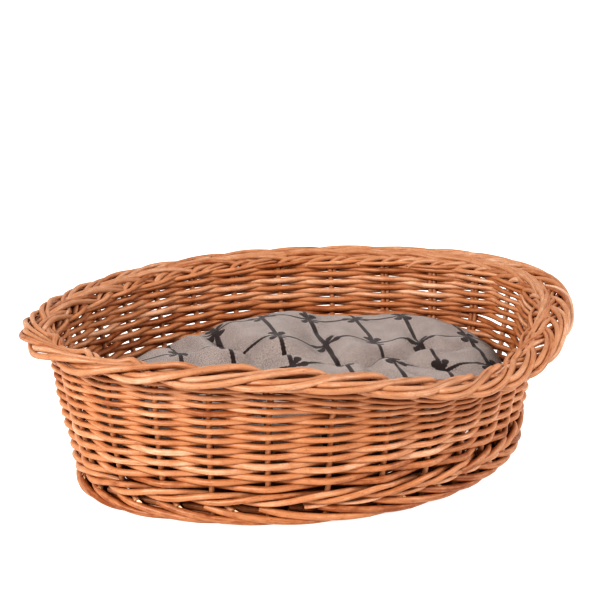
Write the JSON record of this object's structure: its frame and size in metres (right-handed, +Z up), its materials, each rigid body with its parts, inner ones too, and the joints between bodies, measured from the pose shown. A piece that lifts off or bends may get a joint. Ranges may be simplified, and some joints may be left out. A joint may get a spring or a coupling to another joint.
{
  "type": "wicker pet bed basket",
  "caption": "Oval basket of woven willow rods for a small pet to lie in, with a low front, a rolled border and a loose padded cushion.",
  "frame": {"origin": "on the floor, under the middle of the basket's overall length and width", "axes": "+X along the basket's length, -Y towards the lowered front, +Z up"},
  "size_m": [0.6964, 0.5403, 0.1973],
  "materials": {
    "willow_stakes": "satin, buff willow stakes",
    "willow_weave": "satin, buff willow weaving rods",
    "willow_border": "satin, buff willow border and foot rods",
    "willow_base": "satin, buff willow base",
    "cushion_fabric": "plain-woven cotton, greige with a dark brown trellis print",
    "cushion_filling": "white polyester fibre"
  },
  "bodies": {
    "basket": {"base_cross_sticks": "willow_base", "base_long_sticks": "willow_base", "base_weave_upper": "willow_base", "base_weave_lower": "willow_base", "base_centre_weave": "willow_base", "foot_border_outer": "willow_border", "foot_border_inner": "willow_border", "stakes_right": "willow_stakes", "stakes_back": "willow_stakes", "stakes_left": "willow_stakes", "stakes_front": "willow_stakes", "upsett_wale_a": "willow_border", "upsett_wale_b": "willow_border", "upsett_wale_c": "willow_border", "weave_row_01": "willow_weave", "weave_row_02": "willow_weave", "weave_row_03": "willow_weave", "weave_row_04": "willow_weave", "weave_row_05": "willow_weave", "weave_row_06": "willow_weave", "weave_row_07": "willow_weave", "weave_row_08": "willow_weave", "weave_row_09": "willow_weave", "weave_row_10": "willow_weave", "weave_row_11": "willow_weave", "weave_row_12": "willow_weave", "weave_row_13": "willow_weave", "top_wale_a": "willow_border", "top_wale_b": "willow_border", "border_rods_right": "willow_border", "border_rods_back": "willow_border", "border_rods_left": "willow_border", "border_rods_front": "willow_border"},
    "cushion": {"cushion_cover_top": "cushion_fabric", "cushion_cover_bottom": "cushion_fabric", "cushion_filling": "cushion_filling"}
  },
  "joints": [
    {"name": "cushion_lift", "type": "slide", "parent": "basket", "child": "cushion", "axis": [0, 0, 1], "range_m": [0, 0.25]}
  ]
}
